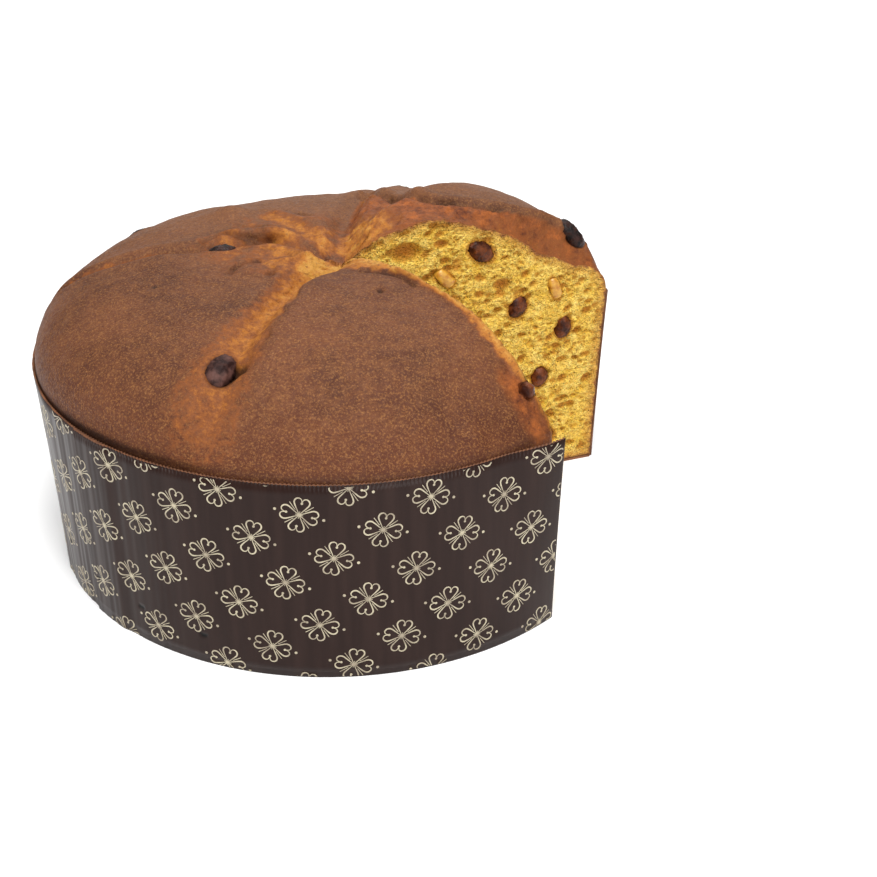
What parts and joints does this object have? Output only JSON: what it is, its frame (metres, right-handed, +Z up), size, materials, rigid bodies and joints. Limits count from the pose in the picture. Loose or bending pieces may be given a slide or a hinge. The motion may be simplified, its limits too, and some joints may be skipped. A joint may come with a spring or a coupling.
{
  "type": "cut panettone in its paper case",
  "caption": "Low domed sweet bread with split crust, raisins and candied peel, one wedge cut out, in a printed paper baking case.",
  "frame": {"origin": "middle of the footprint, on the surface that the case stands on", "axes": "+Z up; -Y is the front of the case; the missing wedge opens to +X and to the front"},
  "size_m": [0.209, 0.21, 0.1135],
  "materials": {
    "loaf": "browned crust, matt and finely grained, over open yellow crumb",
    "raisin": "soft wrinkled skin with a damp shine",
    "peel": "candied, translucent and sticky",
    "case": "fluted baking paper with a slight gloss and a pale clover print",
    "case_base": "plain baking paper"
  },
  "bodies": {
    "root": {"loaf": "loaf", "case_band": "case", "case_base": "case_base", "raisin_far_1": "raisin", "raisin_far_2": "raisin", "raisin_far_3": "raisin", "raisin_far_4": "raisin", "raisin_far_5": "raisin", "raisin_far_6": "raisin", "raisin_far_7": "raisin", "raisin_far_8": "raisin", "raisin_far_9": "raisin", "raisin_far_10": "raisin", "raisin_far_11": "raisin", "raisin_far_12": "raisin", "raisin_far_13": "raisin", "peel_far_1": "peel", "peel_far_2": "peel", "peel_far_3": "peel", "peel_far_4": "peel", "peel_far_5": "peel", "peel_far_6": "peel", "raisin_near_1": "raisin", "raisin_near_2": "raisin", "raisin_near_3": "raisin", "raisin_near_4": "raisin", "raisin_near_5": "raisin", "raisin_near_6": "raisin", "raisin_near_7": "raisin", "raisin_near_8": "raisin", "raisin_near_9": "raisin", "raisin_near_10": "raisin", "raisin_near_11": "raisin", "raisin_near_12": "raisin", "raisin_near_13": "raisin", "peel_near_1": "peel", "peel_near_2": "peel", "peel_near_3": "peel", "peel_near_4": "peel", "peel_near_5": "peel", "peel_near_6": "peel", "raisin_crust_1": "raisin", "raisin_crust_2": "raisin", "raisin_crust_3": "raisin", "raisin_crust_4": "raisin", "raisin_crust_5": "raisin", "raisin_crust_6": "raisin"}
  },
  "joints": []
}
